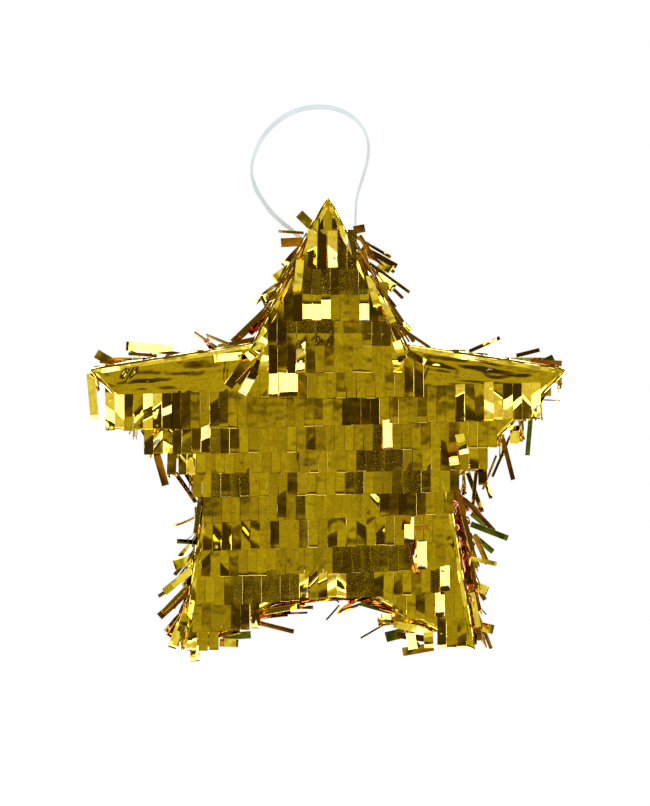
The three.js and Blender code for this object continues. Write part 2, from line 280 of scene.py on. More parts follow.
def foil_material():
    """Metallised film of one gold. The tone attribute holds each strip's colour with painted shade,
    painted highlight and painted backlight in it; the grain attribute holds its speckled, rubbed surface.
    """
    smooth_roughness = 0.04
    material, tree, shader = new_material("gold_foil", smooth_roughness)
    # Tone stops: 0 and 0.25 are dark browns painted in as shade, 0.5 and 0.6 the foil's gold, 0.75 a pale
    # yellow painted in as highlight, 0.85 and 0.92 orange and red foil, and 0.97 and 1 greens painted in
    # as light shining through the film from behind.
    hues_and_shading = add_ramp(
        tree, mesh_value(tree, "tone"),
        [(0.0, (0.10, 0.035, 0.001)), (0.25, (0.50, 0.29, 0.003)), (0.50, (0.92, 0.62, 0.007)),
         (0.60, (1.0, 0.70, 0.010)), (0.75, (1.0, 0.82, 0.06)), (0.85, (1.0, 0.40, 0.012)),
         (0.92, (0.50, 0.085, 0.004)), (0.97, (0.10, 0.17, 0.03)), (1.0, (0.16, 0.30, 0.05))],
    )
    shader.inputs["Metallic"].default_value = 1.0
    shader.inputs["Coat Weight"].default_value = 1.0
    shader.inputs["Coat IOR"].default_value = 2.2
    shader.inputs["Coat Roughness"].default_value = 0.04
    where = object_place(tree)
    grain = mesh_value(tree, "grain")
    specks = add_noise(tree, where, 1000, 2.0)
    rubbed = add_ramp(tree, specks, [(0.46, (0.30, 0.23, 0.12)), (0.58, 1.0)])
    shaded_and_worn = add_mix(tree, grain, hues_and_shading, rubbed, "MULTIPLY")
    tree.links.new(shaded_and_worn, shader.inputs["Base Color"])
    rough = add_math(tree, "MULTIPLY_ADD", grain, 0.01, smooth_roughness)
    tree.links.new(rough, shader.inputs["Roughness"])
    waves = add_noise(tree, where, 105, 1.0)
    smooth = add_bump(tree, waves, 0.55, 0.0006, shader)
    fine = add_bump(tree, specks, 1.0, 0.00014, shader, smooth)
    tree.links.new(grain, fine.inputs["Strength"])
    return material


def card_material():
    """Brown corrugated cardboard, with fibres and faint flute lines."""
    material, tree, shader = new_material("cardboard", 0.88)
    where = object_place(tree)
    fibres = add_noise(tree, where, 420, 4.0)
    stains = add_noise(tree, where, 18, 2.0)
    mixed_in = add_math(tree, "MULTIPLY_ADD", fibres, 0.6, stains)
    tint = add_ramp(tree, mixed_in, [(0.35, (0.30, 0.19, 0.10)), (0.95, (0.50, 0.35, 0.20))])
    tree.links.new(tint, shader.inputs["Base Color"])
    flutes = tree.nodes.new("ShaderNodeTexWave")
    flutes.inputs["Scale"].default_value = 90
    flutes.inputs["Distortion"].default_value = 0.4
    tree.links.new(where, flutes.inputs["Vector"])
    ribs = add_bump(tree, flutes.outputs["Fac"], 0.15, 0.0003, shader)
    add_bump(tree, fibres, 0.2, 0.0002, shader, ribs)
    return material


def tape_material():
    """Brown paper tape, smoother and paler than the card."""
    material, tree, shader = new_material("paper_tape", 0.6)
    fibres = add_noise(tree, object_place(tree), 700, 3.0)
    tint = add_ramp(tree, fibres, [(0.3, (0.50, 0.37, 0.21)), (0.7, (0.60, 0.46, 0.28))])
    tree.links.new(tint, shader.inputs["Base Color"])
    add_bump(tree, fibres, 0.15, 0.0001, shader)
    return material


def ribbon_material():
    """White satin ribbon with a fine cross weave. Its blue-grey, mottled colour is painted shade on the
    white.
    """
    material, tree, shader = new_material("white_ribbon", 0.7)
    where = object_place(tree)
    shade = add_noise(tree, where, 45, 1.0)
    # The white ribbon's blue-grey tint, mottled by the shade noise, is painted shade.
    tint = add_ramp(tree, shade, [(0.3, (0.68, 0.76, 0.79)), (0.7, (0.80, 0.87, 0.89))])
    tree.links.new(tint, shader.inputs["Base Color"])
    shader.inputs["Specular IOR Level"].default_value = 0.0
    weave = add_noise(tree, where, 2600, 1.0)
    add_bump(tree, weave, 0.02, 0.00001, shader)
    return material


# ---- Building foil ----
LIP = 0.00028  # length of the very end of a strip, which may be turned in
# Places across a strip, as shares of its width.
FACE = (-0.5, -0.47, -0.45, -0.3, -0.15, 0.0, 0.15, 0.3, 0.45, 0.47, 0.5)


class Film:
    """Gathers thin sheets of foil, each with a tone, which holds painted shade and painted highlight as
    well as colour, and a grain, and makes one object of them.
    """

    def __init__(self):
        self.points = []
        self.faces = []
        self.tones_and_shading = []
        self.grains = []

    def sheet(self, rows, normals, tone, grain=0.0):
        """A closed thin sheet over a grid of points, with the normals of its outer side."""
        start = len(self.points)
        tall, wide = len(rows), len(rows[0])
        count = tall * wide
        for row, row_normals in zip(rows, normals):
            self.points += [p + n * (FILM / 2) for p, n in zip(row, row_normals)]
        for row, row_normals in zip(rows, normals):
            self.points += [p - n * (FILM / 2) for p, n in zip(row, row_normals)]
        self.tones_and_shading += [tone] * (2 * count)
        self.grains += [grain] * (2 * count)
        across = rows[0][-1] - rows[0][0]
        along = rows[1][0] - rows[0][0]
        flip = across.cross(along).dot(normals[0][0]) < 0

        def face(*corners):
            corners = reversed(corners) if flip else corners
            self.faces.append([start + c for c in corners])

        for i in range(tall - 1):
            for j in range(wide - 1):
                a, b = i * wide + j, i * wide + j + 1
                c, d = a + wide, b + wide
                face(a, b, d, c)
                face(a + count, c + count, d + count, b + count)
        for i in range(tall - 1):
            a, c = i * wide, (i + 1) * wide
            face(a, c, c + count, a + count)
            b, d = a + wide - 1, c + wide - 1
            face(d, b, b + count, d + count)
        for j in range(wide - 1):
            face(j + 1, j, j + count, j + 1 + count)
            a = (tall - 1) * wide + j
            face(a, a + 1, a + 1 + count, a + count)

    def strip(self, root, down, out, length, look, width=STRIP_WIDTH):
        """One cut strip, which leaves root along down with its face towards out."""
        side = down.cross(out).normalized()
        swing = math.radians(look.sway)
        down, side = (
            down * math.cos(swing) + side * math.sin(swing),
            side * math.cos(swing) - down * math.sin(swing),
        )
        spines = [root.copy() for u in FACE]
        rows, normals = [], []
        for k in range(look.steps + 2):
            share = min(k / look.steps, 1)
            last = k > look.steps
            step = LIP if last else (length - LIP) / look.steps
            turn = math.radians(look.turn_at(share))
            row, row_normals = [], []
            for j, u in enumerate(FACE):
                lean = math.radians(look.lean_at(share - look.slant * u))
                along = down * math.cos(lean) + out * math.sin(lean)
                across = Matrix.Rotation(turn, 3, along) @ side
                normal = across.cross(along).normalized()
                if k:
                    spines[j] = spines[j] + along * step
                bow = look.cup * (1 - 4 * u * u) - (look.edge if abs(u) == 0.5 else 0)
                bow -= look.lip if last else 0
                bow += look.dent_at(share * length, u * width)
                row.append(spines[j] + across * (u * width) + normal * bow)
                row_normals.append(normal)
            rows.append(row)
            normals.append(row_normals)
        self.sheet(rows, normals, look.tone, look.grain)

    def make(self, name, material, body, *nodes, crisp=40):
        piece = add_mesh(name, self.points, self.faces, material, crisp)
        # The tone attribute holds painted shade and painted highlight besides each strip's colour; grain
        # holds its specks.
        for attribute, values in (("tone", self.tones_and_shading), ("grain", self.grains)):
            held = piece.data.attributes.new(attribute, "FLOAT", "POINT")
            held.data.foreach_set("value", values)
        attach(piece, body)
        if nodes:
            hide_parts(*nodes)


class Look:
    """How one strip lies and shines. Angles are in degrees, from its root to its end."""

    def __init__(self, tone=0.55, grain=0.0, lift=(2, 3), turn=(0, 0), sway=0, bends=(), steps=6):
        self.tone, self.grain = tone, grain
        self.lift, self.turn = lift, turn
        self.sway, self.bends, self.steps = sway, bends, steps
        self.slant = 0.0  # how far a bend runs aslant, as a share of the length
        self.tucked = False
        self.dent = None
        self.cup = jitter(0.00005)
        self.edge = rng.choice((0.0, 0.00002, 0.00003, 0.00003, 0.00003, 0.00005))
        self.lip = rng.choice((0.0, 0.00003, 0.00007, 0.00011))

    def ease(self, share):
        """A tucked strip lies flat as far as the row above covers it."""
        return min(max((share - 0.12) / 0.22, 0), 1) if self.tucked else 1

    def add_dent(self):
        """A small round dent: its place down and across the strip, and its height."""
        down, across, sense = rng.uniform(0.015, 0.024), jitter(0.0018), rng.choice((-1, 1))
        self.dent = (down, across, sense * rng.uniform(0.0001, 0.00022))
        self.steps = 20

    def dent_at(self, down, across):
        if self.dent is None:
            return 0.0
        dent_down, dent_across, height = self.dent
        long = (down - dent_down) / 0.0024
        wide = (across - dent_across - (down - dent_down) * 0.3) / 0.0013
        return height * math.exp(-long ** 2 - wide ** 2)

    def turn_at(self, share):
        return (self.turn[0] + (self.turn[1] - self.turn[0]) * share) * self.ease(share)

    def lean_at(self, share):
        lean = (self.lift[0] + (self.lift[1] - self.lift[0]) * share) * self.ease(share)
        for start, end, degrees in self.bends:
            lean += degrees * min(max((share - start) / (end - start), 0), 1)
        return lean


def polar(radius, turns):
    return Vector((radius * math.sin(turns * TURN), 0, CENTRE_Z + radius * math.cos(turns * TURN)))


def half_width(height):
    """Half the star's width at a height above its centre, for the outer outline only."""
    tip, arm = polar(TIP_R, 0), polar(TIP_R, 1)
    upper, lower, foot = polar(VALLEY_R, 0.5), polar(VALLEY_R, 1.5), polar(TIP_R, 2)
    corners = [(p.z - CENTRE_Z, p.x) for p in (tip, upper, arm, lower, foot)]
    for (z0, x0), (z1, x1) in zip(corners, corners[1:]):
        if z1 <= height <= z0:
            return x0 + (x1 - x0) * (z0 - height) / (z0 - z1)
    return 0.0


def arch_width(height):
    """Half the width of the arch between the legs at a height above the centre."""
    valley, foot = polar(VALLEY_R, 2.5), polar(TIP_R, 2)
    top, low = valley.z - CENTRE_Z, foot.z - CENTRE_Z
    return 0.0 if height >= top else foot.x * (top - height) / (top - low)


def jitter(size):
    return rng.uniform(-size, size)


def drift(x, y, seed):
    """A smooth wandering value from -1 to 1 over a surface."""
    return 2 * noise.noise(Vector((x, y, seed)))


def spot(facing, x, height, off):
    """A point on the front (facing -1) or back (1), off the face by that much."""
    return Vector((x, facing * (SKIN_Y + off), CENTRE_Z + height))


HANG = Vector((0, 0, -1))


def edge_height(x, tip_index, valley_index):
    """Height above the centre of the star's edge between a point and a valley."""
    tip, valley = polar(TIP_R, tip_index), polar(VALLEY_R, valley_index)
    share = min(max((abs(x) - valley.x) / (tip.x - valley.x), 0), 1)
    return valley.z + (tip.z - valley.z) * share - CENTRE_Z


def arm_top(x):
    return edge_height(x, 1, 0.5)


def arm_low(x):
    return edge_height(x, 1, 1.5)


def node_bottom(node):
    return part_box(node)[0].z - CENTRE_Z


# ---- Moods: how a strip of each kind lies ----
# Each mood also gives the strip a tone: tones below the mid gold are painted shade and tones above it
# painted highlight, as the foil is one gold all over.
# Each takes the strip's place on the face, because the even ones drift from place to place.
# Leans, in degrees, that face a part of the studio.
WALL, GAP, LAMP, GLOW = 3.0, 10.0, 16.2, 20.4


def calm(x, height):
    """Nearly flat: it shows the even gold of the studio wall."""
    lean = 2.5 + 1.2 * drift(x * 30, height * 30, 1.7) + jitter(0.7)
    turn = 1.6 * drift(x * 60, height * 60, 4.2) + jitter(1.4)
    end = lean + jitter(0.8) + (rng.uniform(3, 6) if rng.random() < 0.12 else 0)
    grain = rng.uniform(0.15, 0.35) if drift(x * 45, height * 60, 9.1) > 0.4 else 0.0
    # Its tone, different for each strip, is painted shade and painted highlight.
    look = Look(rng.uniform(0.38, 0.64), grain, (lean, end), (turn, turn + jitter(1.0)), jitter(0.4))
    if rng.random() < 0.16:
        look.add_dent()
    return look


def dim(x, height):
    """Leaning enough to turn from gold to brown along its length."""
    lean = rng.uniform(3.4, 5.8)
    turn = 2.0 * drift(x * 70, height * 60, 2.9) + jitter(1.8)
    grain = rng.uniform(0.1, 0.4) if rng.random() < 0.25 else 0.0
    lift = (lean, lean - rng.uniform(0, 3.0))
    # Its tone, a little below the mid gold, is painted shade.
    return Look(rng.uniform(0.42, 0.54), grain, lift, (turn, turn), jitter(0.5))


def dark(x, height):
    """Turned to one of the studio's dark gaps."""
    lean = rng.uniform(6.5, 9.0)
    turn = rng.choice((-1, 1)) * rng.uniform(5.5, 8.0)
    lift = (lean * 0.7, lean)
    # Its low tone is painted shade, which darkens the gold beyond the dark gap's reflection.
    return Look(rng.uniform(0.34, 0.50), 0.0, lift, (turn, turn * rng.uniform(0.6, 1)), jitter(0.5))


def grainy(x, height):
    """Dark, with a rubbed, speckled surface."""
    # It keeps dark's low tone, which is painted shade.
    look = dark(x, height)
    look.lift = (3.0, rng.uniform(4.0, 6.5))
    look.turn = (look.turn[0] * 0.9, look.turn[1] * 0.9)
    look.grain = rng.uniform(0.6, 1.0)
    return look


def pale(x, height):
    """Turned up to the overhead softbox."""
    lean = LAMP + jitter(0.8)
    # Its tone, above the mid gold, is painted highlight.
    return Look(0.62, 0.0, (lean, lean + jitter(1.0)), (jitter(1.5), jitter(1.5)), jitter(1.0))


def sunny(x, height):
    """Turned up to the softbox's soft surround, with a crease aslant."""
    look = faceted(x, height)
    look.lift = (GLOW, GLOW)
    look.bends = ((0.55, 0.6, rng.choice((-4.2, -9.0, -17.0))), (0.8, 0.85, rng.choice((0.0, 6.0))))
    return look


def wild(x, height):
    """Twisted and bent, so that it shows several reflections with clean edges."""
    turn = rng.choice((-1, 1)) * rng.uniform(2, 12)
    # Its tone, different for each strip, is painted shade and painted highlight.
    look = Look(rng.uniform(0.48, 0.64), 0.0, (rng.uniform(1, 7), rng.uniform(4, 18)))
    look.turn = (turn, turn + jitter(20))
    look.sway = jitter(2.0)
    start = rng.uniform(0.35, 0.8)
    look.bends = ((start, start + rng.choice((0.06, 0.06, 0.2)), jitter(20)),)
    look.slant = jitter(0.2)
    look.steps = 14
    return look


def faceted(x, height, choices=(LAMP, LAMP, WALL, GAP, GAP + 0.5, GLOW)):
    """Creased aslant twice: its parts lean to face a softbox, the wall or a dark gap."""
    leans = rng.sample(choices, 3)
    # Its tone, different for each strip, is painted shade and painted highlight.
    look = Look(rng.uniform(0.52, 0.64), 0.0, (leans[0], leans[0]), (jitter(1.5), jitter(1.5)), jitter(1))
    first, second = rng.uniform(0.30, 0.50), rng.uniform(0.60, 0.85)
    look.bends = (
        (first, first + 0.05, leans[1] - leans[0]), (second, second + 0.05, leans[2] - leans[1]),
    )
    look.slant = rng.choice((-1, 1)) * rng.uniform(0.08, 0.30)
    look.steps = 22
    return look


def rippled(x, height):
    """Creased aslant, so that it is partly gold and partly dark."""
    return faceted(x, height, (WALL - 1, WALL - 0.5, WALL + 0.5, 5.5, GAP - 1.5, GAP - 1))


def bent(x, height):
    """Creased part of the way down, with its end turned up to the softbox."""
    # Its tone, above the mid gold, is painted highlight.
    look = Look(0.62, 0.0, (2.5, 2.5), (jitter(2), jitter(2)), jitter(1.5))
    start = rng.uniform(0.42, 0.56)
    look.bends = ((start, start + 0.06, 13.5),)
    look.steps = 18
    return look


def mixed(x, height):
    return rng.choice((calm, calm, calm, calm, calm, rippled, dim, dim, dark, grainy))(x, height)


def lively(x, height):
    return rng.choice((faceted, rippled, rippled, wild, dark, dark, dim))(x, height)


def glossy(x, height):
    return rng.choice((faceted, faceted, faceted, faceted, dark, rippled, sunny))(x, height)


END = 1000  # past the end of any row
# The front rows from the top down, in millimetres. Each has the ends of the row, measured from
# the middle; how far it hangs below its place; its climb to the right, as a slope; and its moods
# from left to right, each with the place where it stops.
FRONT_ROWS = {
    "02": (-14.5, 20.5, 0, 0, ((-5, sunny), (1, dark), (7, sunny), (END, grainy))),
    "03": (-24.5, 28, 0, 0, ((-18, dark), (END, grainy))),
    "04": (-31.2, 42, 1, 0, ((-18, dark), (1, bent), (20, dim), (28, bent), (END, dark))),
    "05": (-42, 44, 0.5, 0, ((-28, dark), (2, grainy), (30, dim), (END, dark))),
    "06": (-41.8, 43.8, 1.5, 0, ((-22, dark), (-15, wild), (-8, dark), (22, dim), (END, calm))),
    "07": (-48, 67, 1.5, 0.012, ((-39, calm), (-18.5, pale), (12, dim), (55, calm), (END, dark))),
    "08": (-156, 149, 3, 0.028, (
        (-110, glossy), (-88, lively), (-60, mixed), (10, dim), (34, dark), (92, dim), (END, glossy),
    )),
    "09": (-129, 118.5, 3, 0.02, (
        (-95, glossy), (-80, lively), (-62, mixed), (30, calm), (40, grainy), (47, pale), (70, dim),
        (END, mixed),
    )),
    "10": (-112, 112, 0, 0.016, (
        (-93, wild), (-60, calm), (22, calm), (50, grainy), (80, calm), (END, mixed),
    )),
    "11": (-95, 92, -2, 0.022, (
        (-80, calm), (-56, grainy), (10, calm), (22, grainy), (52, calm), (75, grainy), (END, calm),
    )),
    "12": (-87.5, 88, -3.2, 0.038, (
        (-50, dim), (-12, mixed), (30, calm), (50, mixed), (70, dark), (END, calm),
    )),
    "13": (-87.8, 87.2, -1, 0.032, (
        (-60, rippled), (-30, mixed), (0, mixed), (40, rippled), (52, calm), (58, pale), (END, calm),
    )),
    "14": (-89, 88.8, -0.5, 0.034, (
        (-70, rippled), (-40, mixed), (0, calm), (63, grainy), (69.5, pale), (END, mixed),
    )),
    "15": (-92.5, 91.5, 0, 0.055, (
        (-65, calm), (-22, grainy), (10, sunny), (32, grainy), (77, mixed), (83.5, pale), (END, calm),
    )),
    "16_left": (-95, -48, 0, 0.06, ((-68, dim), (-55, dark), (END, wild))),
    "16_right": (48, 95, 0, 0.06, ((66, mixed), (74.5, calm), (81, pale), (END, calm))),
    "17_left": (-98.5, -76, 1, 0, ((-88, wild), (END, dim))),
    "17_right": (76, 97.5, -1, 0, ((82, wild), (93, calm), (END, wild))),
}


def fringe_row(
    film, facing, bottom, left, right, moods, slope=0.0, length=FRINGE, bare=1.0, off=ROOT_OFF
):
    """Strips side by side from left to right, whose lower ends lie on a line.

    Those farther out than bare have no row above them. They are rooted at off from the face.
    """
    pitch = STRIP_WIDTH + STRIP_GAP
    count = max(1, round((right - left) / pitch))
    out = Vector((0, facing, 0))
    for i in range(count):
        x = left + (right - left) * (i + 0.5) / count
        mood = next(kind for end, kind in moods if x < end)
        look = mood(x, bottom)
        look.tucked = abs(x) < bare
        root = spot(facing, x, bottom + slope * x + length, off)
        film.strip(root, HANG, out, length + jitter(0.0004), look)


def header(film, facing, columns, crinkle, creases=(), levels=24):
    """A glued, uncut band of film. columns are (x, low height, high height)."""
    rows, normals = [], []
    for k in range(levels + 1):
        row = []
        for x, low, high in columns:
            height = high + (low - high) * k / levels
            wide_wave = 0.5 + 0.5 * drift(x * 26, height * 75, 7.7)
            fine_wave = 0.08 * abs(drift(x * 70, height * 190, 2.2))
            off = ROOT_OFF + crinkle * (wide_wave + fine_wave)
            off += sum(crease_height(crease, x, height) for crease in creases)
            row.append(spot(facing, x, height, off))
        rows.append(row)
        normals.append([Vector((0, facing, 0))] * len(row))
    film.sheet(rows, normals, 0.55)


def crease_height(crease, x, height):
    """A folded ridge from (x0, z0) to (x1, z1), which fades at its ends."""
    x0, z0, x1, z1, rise, width = crease
    start, run = Vector((x0, z0)), Vector((x1 - x0, z1 - z0))
    place = Vector((x, height)) - start
    share = place.dot(run) / run.length_squared
    if not 0 < share < 1:
        return 0.0
    away = abs(place.x * run.y - place.y * run.x) / run.length
    return rise * math.sin(math.pi * share) * max(0.0, 1 - away / width)


# Creases in the film over each arm, in millimetres: both ends, then rise and half width.
LEFT_CREASES = (
    (-146, 46, -136, 62, 0.7, 1.4), (-142, 44, -132, 60, 0.6, 1.2), (-148, 60, -60, 66, 0.4, 2.6),
    (-152, 43, -100, 47, 0.4, 3), (-110, 52, -62, 57, 0.3, 4), (-73, 40, -70, 68, 0.4, 1.2),
)
RIGHT_CREASES = (
    (56, 60, 95, 52, 0.5, 3.4), (60, 64, 160, 48, 0.4, 3.4), (110, 49, 158, 53, 0.2, 2.6),
    (62, 40, 72, 64, 0.4, 2.6), (80, 46, 130, 43, 0.3, 1.8), (95, 62, 120, 56, 0.3, 2.4),
)


def arm_band(film, facing, side, inner, low_at, creases, crinkle):
    """The uncut film over one arm, from the fringe's cut line up to the edge."""
    steps = 110
    creases = [[value / MM for value in crease] for crease in creases]
    outer = polar(TIP_R, 1).x - 0.0012
    columns = []
    for i in range(steps + 1):
        x = side * (inner + (outer - inner) * i / steps)
        high = arm_top(x) - 0.0025
        low = max(low_at(x), arm_low(x) + 0.002)
        columns.append((x, min(low, high - 0.0004), high))
    header(film, facing, columns, crinkle, creases)


def make_apex(material):
    """Film over the very point, with three facets that are tucked under its folded edges."""
    film = Film()
    low = node_bottom("front_foil_01")
    columns = []
    steps = 16
    reach = half_width(low) - 0.001
    for i in range(steps + 1):
        x = -reach + 2 * reach * i / steps
        columns.append((x, low - 0.003, low + (TIP_R - 0.0022 - low) * (1 - abs(x) / (reach + 0.001))))
    header(film, -1, columns, 0.0003, levels=8)
    out = Vector((0, -1, 0))
    facets = ((-0.0048, 0.0040, 0.0080, dark), (0.0048, 0.0040, 0.0080, dark), (0, 0.0054, 0.0120, calm))
    for x, width, length, mood in facets:
        look = mood(x, low)
        film.strip(spot(-1, x, low + length, 0.0012), HANG, out, length, look, width)
    film.make("foil_apex", material, "star", "front_foil_01")


def front_rows(material):
    """Each row takes the place of its CAD node."""
    for name, (left, right, drop, slope, moods) in FRONT_ROWS.items():
        node = f"front_foil_{name}"
        bottom = node_bottom(node) - drop / MM
        stops = [(end / MM, mood) for end, mood in moods]
        film = Film()
        if name == "08":
            cut = bottom + FRINGE - 0.0015
            for side, creases in ((-1, LEFT_CREASES), (1, RIGHT_CREASES)):
                arm_band(film, -1, side, 0.040, lambda x: cut + slope * x, creases, 0.0011)
        bare = {"02": 0.0, "08": 0.060}.get(name, 1.0)
        off = 3 * ROOT_OFF if name in ("06", "07") else ROOT_OFF  # these two lie over the arms' film
        fringe_row(film, -1, bottom, left / MM, right / MM, stops, slope, bare=bare, off=off)
        film.make(f"foil_row_{name}", material, "star", node)


# ---- Back ----
BACK_MOODS = ((END, mixed),)  # one mood all along a row
NEAR = 1e-4  # heights closer than this are the same


def back_rows(material):
    """The back, two or three rows to each node. Rows beside the fill door stop at its edges."""
    door = DOOR_HIGH.x + 0.0002
    door_low = DOOR_LOW.z - CENTRE_Z
    bands = (
        ("top", 0), ("neck", 0), ("arms", 0), ("waist", 0), ("arch", 0), ("upper_left", -1),
        ("upper_right", 1), ("lower_left", -1), ("lower_right", 1), ("left_leg", -1), ("right_leg", 1),
    )
    for name, side in bands:
        node = f"back_foil_{name}"
        film = Film()
        low = ROW_PITCH * round(node_bottom(node) / ROW_PITCH)
        count = 3 if name == "top" else 2
        for k in reversed(range(count)):
            bottom = low + k * ROW_PITCH
            narrowing = bottom < 0.04  # below the arms the row's ends follow the lower edge
            root = bottom + FRINGE * (0.45 if narrowing else 0.85)
            outer = half_width(root) - 0.0015
            inner = door if "leg" not in name else arch_width(root) + 0.002
            if side:
                left, right = sorted((side * outer, side * inner))
                fringe_row(film, 1, bottom, left, right, BACK_MOODS)
            elif abs(bottom + ROW_PITCH - door_low) < NEAR:  # the strips under the door are shorter
                fringe_row(film, 1, bottom, -outer, -door, BACK_MOODS)
                fringe_row(film, 1, bottom, -door, door, BACK_MOODS, length=ROW_PITCH - 0.001)
                fringe_row(film, 1, bottom, door, outer, BACK_MOODS)
            else:
                fringe_row(film, 1, bottom, -outer, outer, BACK_MOODS)
        film.make(f"foil_back_{name}", material, "star", node)
    film = Film()
    for side in (-1, 1):
        arm_band(film, 1, side, 0.046, lambda x: 0.030, (), 0.0005)
    film.make("foil_back_arm_bands", material, "star")


def door_rows(material):
    """Fringe on the fill door. It hangs a little past the door's free edge."""
    reach = DOOR_HIGH.x - 0.0002
    top = DOOR_HIGH.z - CENTRE_Z - 0.0008
    overhang = 0.004
    for name, rows in (("upper", (0, 1)), ("lower", (2, 3))):
        film = Film()
        for k in rows:
            bottom = top - (k + 1) * ROW_PITCH
            if k == 3:
                bottom -= overhang
            length = min(FRINGE, top - bottom)
            fringe_row(film, 1, bottom, -reach, reach, BACK_MOODS, length=length)
        film.make(f"foil_door_{name}", material, "fill_door", f"door_foil_{name}")


# ---- Side walls ----
CARD_TIP_R = TIP_R - 0.002
CARD_VALLEY_R = VALLEY_R - 0.0015
WALL_STRIPS = 10  # strips side by side across a wall
WALL_REACH = 0.0308  # from a wall's middle to its outermost strips
HOLE_REACH = 0.040  # how far down a wall of the top point strips are kept clear of the ribbon
HOLE_CLEAR = 0.011  # and how far to each side of it


class Run:
    """A straight wall between a point and a valley, as in the CAD model."""

    def __init__(self, tip_index, side):
        self.tip = polar(CARD_TIP_R, tip_index)
        valley = polar(CARD_VALLEY_R, tip_index + side / 2)
        self.length = (valley - self.tip).length
        self.along = (valley - self.tip).normalized()
        self.out = Vector((-self.along.z, 0, self.along.x)) * side
        inward = (Vector((0, 0, CENTRE_Z)) - self.tip).normalized()
        self.spread = math.tan(self.along.angle(inward))  # half width of the point per length

    def at(self, distance, depth, off):
        point = self.tip + self.along * distance + self.out * off
        return point + Vector((0, depth, 0))


def swell(run, distance, depth, bulge):
    """How far crumpled foil bulges off a wall. It is fullest towards the wall's valley."""
    along = math.sin(math.pi * min(max(distance / run.length, 0), 1) ** 1.6)
    across = math.cos(math.pi / 2 * min(abs(depth) / PANEL_Y, 1)) ** 0.4
    return bulge * along * across


def wall_skin(film, run, crinkle, bulge, tone):
    """Crumpled foil glued on the wall, under its fringe."""
    steps, across = 60, 24
    rows, normals = [], []
    for i in range(steps + 1):
        distance = 0.001 + (run.length - 0.002) * i / steps
        row = []
        for j in range(across + 1):
            depth = -PANEL_Y + 2 * PANEL_Y * j / across
            off = 0.0006 + swell(run, distance, depth, bulge)
            off += crinkle * abs(drift(distance * 85, depth * 85, run.tip.x * 50 + 3))
            off += crinkle * 0.4 * abs(drift(distance * 190, depth * 160, run.tip.z * 40))
            row.append(run.at(distance, depth, off))
        rows.append(row)
        normals.append([run.out] * len(row))
    film.sheet(rows, normals, tone)


# For each wall of a point on the right: the way its strips lie and the way its loose ones stand,
# in degrees from +X towards +Z, the share of loose ones, how far the rest lift off the wall, and
# their length. The left side is the mirror of it.
WALLS = {
    ("top", 1): (-64, -38, 0.07, 0.7, 0.0245), ("right_arm", -1): (-10, 14, 0.01, 0.1, 0.0245),
    ("right_arm", 1): (-92, -84, 0.02, 0.6, 0.0165), ("right_leg", -1): (-81, -44, 0.07, 0.8, 0.0245),
    ("right_leg", 1): (155, 190, 0.06, 0.5, 0.0245),
}
MIRROR = {"top": "top", "right_arm": "left_arm", "right_leg": "left_leg"}
POINTS = ("top", "right_arm", "right_leg", "left_leg", "left_arm")


def both_sides(table):
    """Each wall of a table for the right side, then its mirror: point, side, mirrored, values."""
    for (point, side), values in table.items():
        yield point, side, False, values
        yield MIRROR[point], -side, True, values


def direction(degrees):
    angle = math.radians(degrees)
    return Vector((math.cos(angle), 0, math.sin(angle)))


# Tones of the side strips. They are darker on the top point, with more painted shade, and redder beside
# the right leg. Tones below 0.50 are painted shade on the gold, 0.70 is painted highlight and those from
# 0.84 up are orange and red foil.
SIDE_TONES = (0.12, 0.25, 0.40, 0.50, 0.56, 0.60, 0.70, 0.84, 0.89, 0.92)
DARK_TONES = (0.0, 0.05, 0.10, 0.15, 0.25, 0.35, 0.55, 0.88, 0.91, 0.93)
RED_TONES = (0.12, 0.25, 0.84, 0.86, 0.88, 0.90, 0.91, 0.92, 0.93, 0.90)
WALL_TONES = {("top", -1): DARK_TONES, ("top", 1): DARK_TONES, ("right_leg", -1): RED_TONES}
WALL_COVER = {("right_leg", -1): 0.55}  # share of the places that have a strip


def side_strip(film, run, distance, depth, lie, stand, loose_share, loft, usual, tones_and_shading, bulge):
    """One strip of a wall's fringe. Most lie along the wall, and some stand out from it."""
    loose = rng.random() < loose_share
    angle = stand + jitter(17) if loose else lie + jitter(4)
    down = direction(angle)
    if down.dot(run.out) < 0.06:
        rise = 0.03 + 0.09 * loft * rng.random()
        down = (down + run.out * (rise - down.dot(run.out))).normalized()
    out = (run.out - down * down.dot(run.out)).normalized()
    look = Look(rng.choice(tones_and_shading))
    # A few strips turn green: painted light shining through the film from behind.
    if rng.random() < 0.05:
        look.tone = rng.uniform(0.97, 1.0)
    if loose:
        look.lift = (jitter(8), jitter(22))
    else:
        look.lift = (rng.uniform(0, 6) * loft, rng.uniform(-4, 14) * loft)
    spread = (14 if loose else 3) * depth / PANEL_Y
    look.sway = jitter(5) + (spread if down.cross(out).y > 0 else -spread)
    start = jitter(70) if loose else jitter(12)
    look.turn = (start * 0.4, start + jitter(20))
    if rng.random() < 0.3:
        look.bends = ((rng.uniform(0.3, 0.8), 1.0, jitter(35) * (1 if loose else loft)),)
    length = usual + jitter(0.0035 if loose else 0.0022)
    width = STRIP_WIDTH * (rng.uniform(0.3, 0.6) if loose and rng.random() < 0.3 else 1)
    off = 0.0010 + 0.0008 * loft + swell(run, distance, depth, bulge)
    film.strip(run.at(distance, depth, off), down, out, length, look, width)


# Walls with fuller foil: its crumpling, its bulge and its tone. The right leg's tone is red foil; the
# left leg's low tone is painted shade.
SKINS = {("right_leg", -1): (0.0034, 0.0085, 0.92), ("left_leg", 1): (0.0015, 0.0010, 0.30)}


